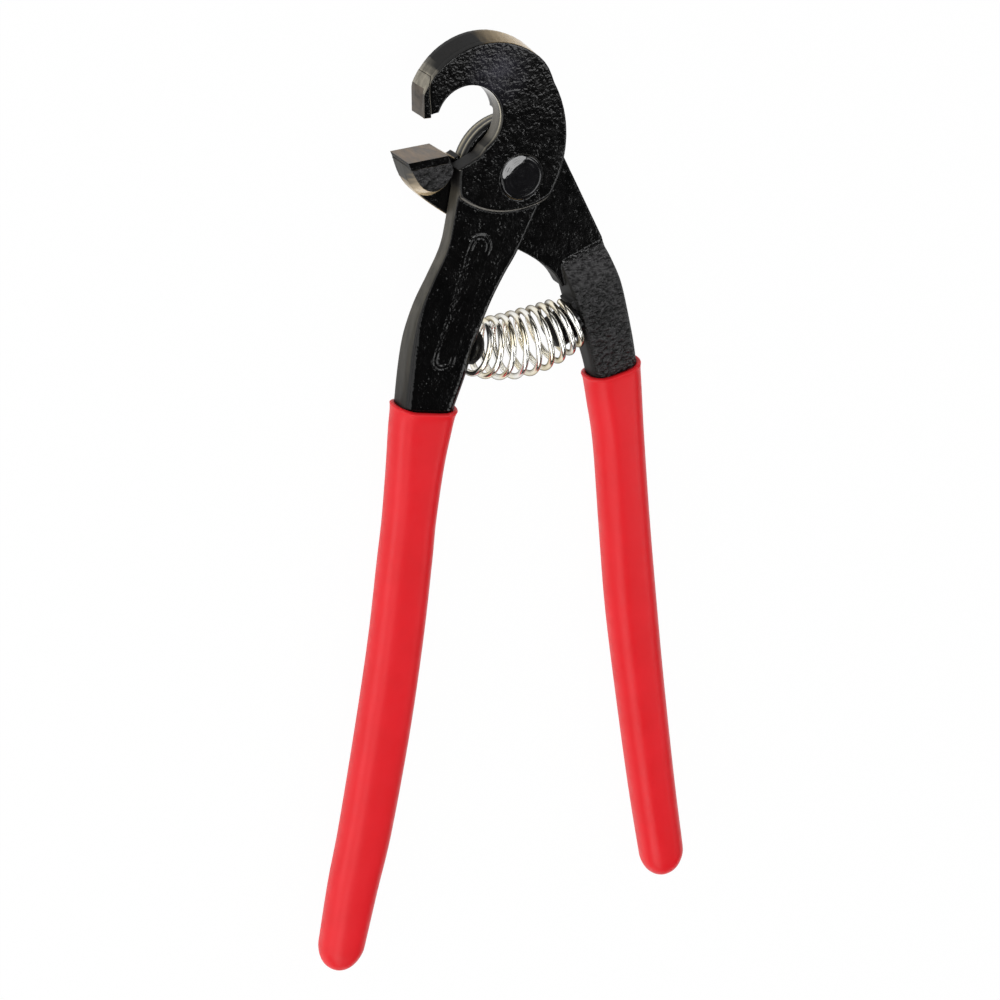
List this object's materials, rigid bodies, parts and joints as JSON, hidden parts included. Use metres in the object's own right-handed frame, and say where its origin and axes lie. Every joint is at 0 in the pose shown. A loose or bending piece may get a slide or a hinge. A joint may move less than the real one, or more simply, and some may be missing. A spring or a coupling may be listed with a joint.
{
  "type": "hooked-jaw tile nipper pliers",
  "caption": "Pliers with a hooked upper jaw closing on a flat anvil jaw, lap-jointed on a rivet, with a barrel return spring and dipped plastic grips.",
  "frame": {"origin": "on the pivot axis, in the plane of the back of the anvil arm's boss and of the rivet's back head", "axes": "+Z along the pivot axis, from the anvil arm's back towards the hook arm's front; +Y towards the jaws, half way between the two handles; +X to the anvil arm's handle"},
  "size_m": [0.0967, 0.2168, 0.0145],
  "materials": {
    "black_steel": "black lacquer over a rough cast surface",
    "ground_tip": "bare ground metal, warm grey",
    "red_grip": "glossy dipped soft plastic",
    "rivet_steel": "black lacquer, smoother than the arms",
    "bright_spring": "bright plated wire"
  },
  "bodies": {
    "anvil_side": {"anvil_arm": "black_steel", "anvil_tip": "ground_tip", "anvil_grip": "red_grip", "anvil_spring_stud": "black_steel", "pivot_rivet": "rivet_steel", "return_spring": "bright_spring"},
    "hook_side": {"hook_arm": "black_steel", "hook_tip": "ground_tip", "hook_grip": "red_grip", "hook_spring_stud": "black_steel"}
  },
  "joints": [
    {"name": "jaw_close", "type": "hinge", "parent": "anvil_side", "child": "hook_side", "pos_m": [0, 0, 0.00465], "axis": [0, 0, 1], "range_deg": [0, 20.4], "stiffness_Nm_per_rad": 1.5, "deforming": ["return_spring"]}
  ]
}
